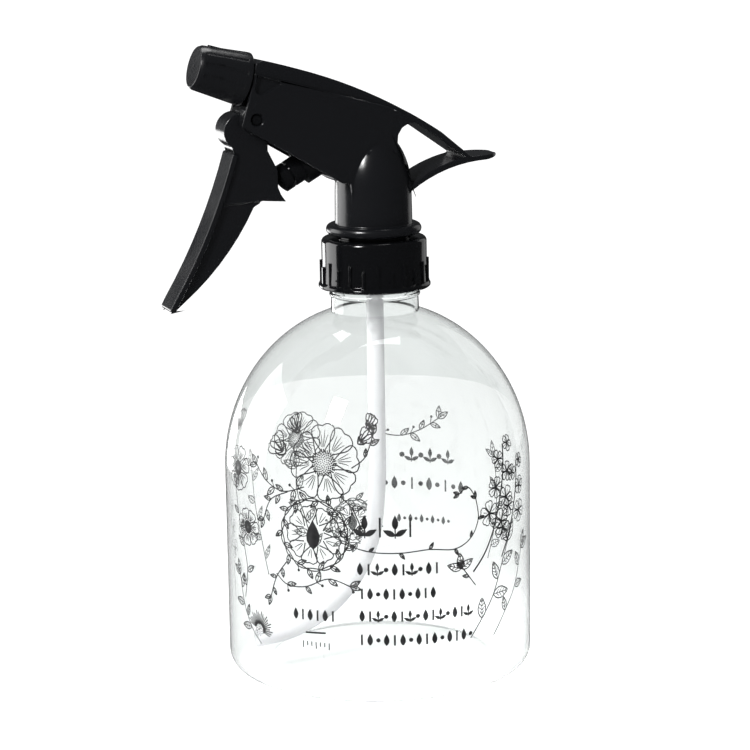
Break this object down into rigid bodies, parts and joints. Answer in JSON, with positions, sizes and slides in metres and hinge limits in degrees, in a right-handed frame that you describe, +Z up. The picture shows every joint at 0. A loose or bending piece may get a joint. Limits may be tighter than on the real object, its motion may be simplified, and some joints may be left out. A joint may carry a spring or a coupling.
{
  "type": "hand mister",
  "caption": "Hand trigger mister: black sprayer head with thumb rest and turning nozzle on a clear domed bottle.",
  "frame": {"origin": "bottle axis on the plane it stands on", "axes": "+Z up the bottle axis; the nozzle points towards -X; +Y is to the right of someone who holds the mister and looks along the nozzle"},
  "size_m": [0.106, 0.088, 0.1816],
  "materials": {
    "clear_pet": "clear blow-moulded PET, polished",
    "black_satin": "moulded polypropylene, satin",
    "black_gloss": "moulded polypropylene, polished",
    "natural": "natural polyethylene, translucent",
    "elastomer": "soft moulded",
    "steel_ball": "polished stainless",
    "spring_steel": "drawn wire"
  },
  "bodies": {
    "bottle": {"bottle": "clear_pet"},
    "head": {"gasket": "elastomer", "housing": "black_satin", "pump_body": "black_gloss", "tube_holder": "natural", "dip_tube": "natural", "outlet_spring": "spring_steel", "chamber_plug": "black_gloss", "pivot_pin": "black_gloss", "return_spring": "spring_steel", "swirl_insert": "natural"},
    "collar": {"collar": "black_gloss"},
    "trigger": {"trigger": "black_satin"},
    "piston": {"piston": "black_gloss", "piston_cup": "elastomer", "vent_cup": "elastomer"},
    "inlet_ball": {"inlet_ball": "steel_ball"},
    "outlet_ball": {"outlet_ball": "steel_ball"},
    "nozzle_slide": {"nozzle_seal": "elastomer"},
    "nozzle": {"nozzle_cap": "black_satin"}
  },
  "joints": [
    {"name": "head_lift", "type": "slide", "parent": "bottle", "child": "head", "axis": [0, 0, 1], "range_m": [0, 0.0065]},
    {"name": "collar_turn", "type": "hinge", "parent": "head", "child": "collar", "pos_m": [0, 0, 0.118], "axis": [0, 0, 1], "range_deg": [0, 540]},
    {"name": "trigger_pull", "type": "hinge", "parent": "head", "child": "trigger", "pos_m": [-0.0362, 0, 0.161], "axis": [0, -1, 0], "range_deg": [0, 20], "stiffness_Nm_per_rad": 0.35, "springref_deg": -20.05},
    {"name": "piston_stroke", "type": "slide", "parent": "head", "child": "piston", "axis": [0.8746, 0, 0.4848], "range_m": [0, 0.0061], "deforming": ["return_spring"]},
    {"name": "inlet_lift", "type": "slide", "parent": "head", "child": "inlet_ball", "axis": [0, 0, 1], "range_m": [0, 0.0015]},
    {"name": "outlet_lift", "type": "slide", "parent": "head", "child": "outlet_ball", "axis": [0, 0, 1], "range_m": [0, 0.001], "stiffness_N_per_m": 40, "springref_m": -0.001, "deforming": ["outlet_spring"]},
    {"name": "nozzle_travel", "type": "slide", "parent": "head", "child": "nozzle_slide", "axis": [-0.9613, 0, 0.2756], "range_m": [0, 0.0031]},
    {"name": "nozzle_turn", "type": "hinge", "parent": "nozzle_slide", "child": "nozzle", "pos_m": [-0.0371, 0, 0.1716], "axis": [-0.9613, 0, 0.2756], "range_deg": [0, 360]}
  ],
  "couplings": [
    {"joint": "head_lift", "follows": "collar_turn", "m_per_rad": 0.00067322},
    {"joint": "piston_stroke", "follows": "trigger_pull", "m_per_rad": 0.0172},
    {"joint": "nozzle_travel", "follows": "nozzle_turn", "m_per_rad": 0.00047746}
  ]
}
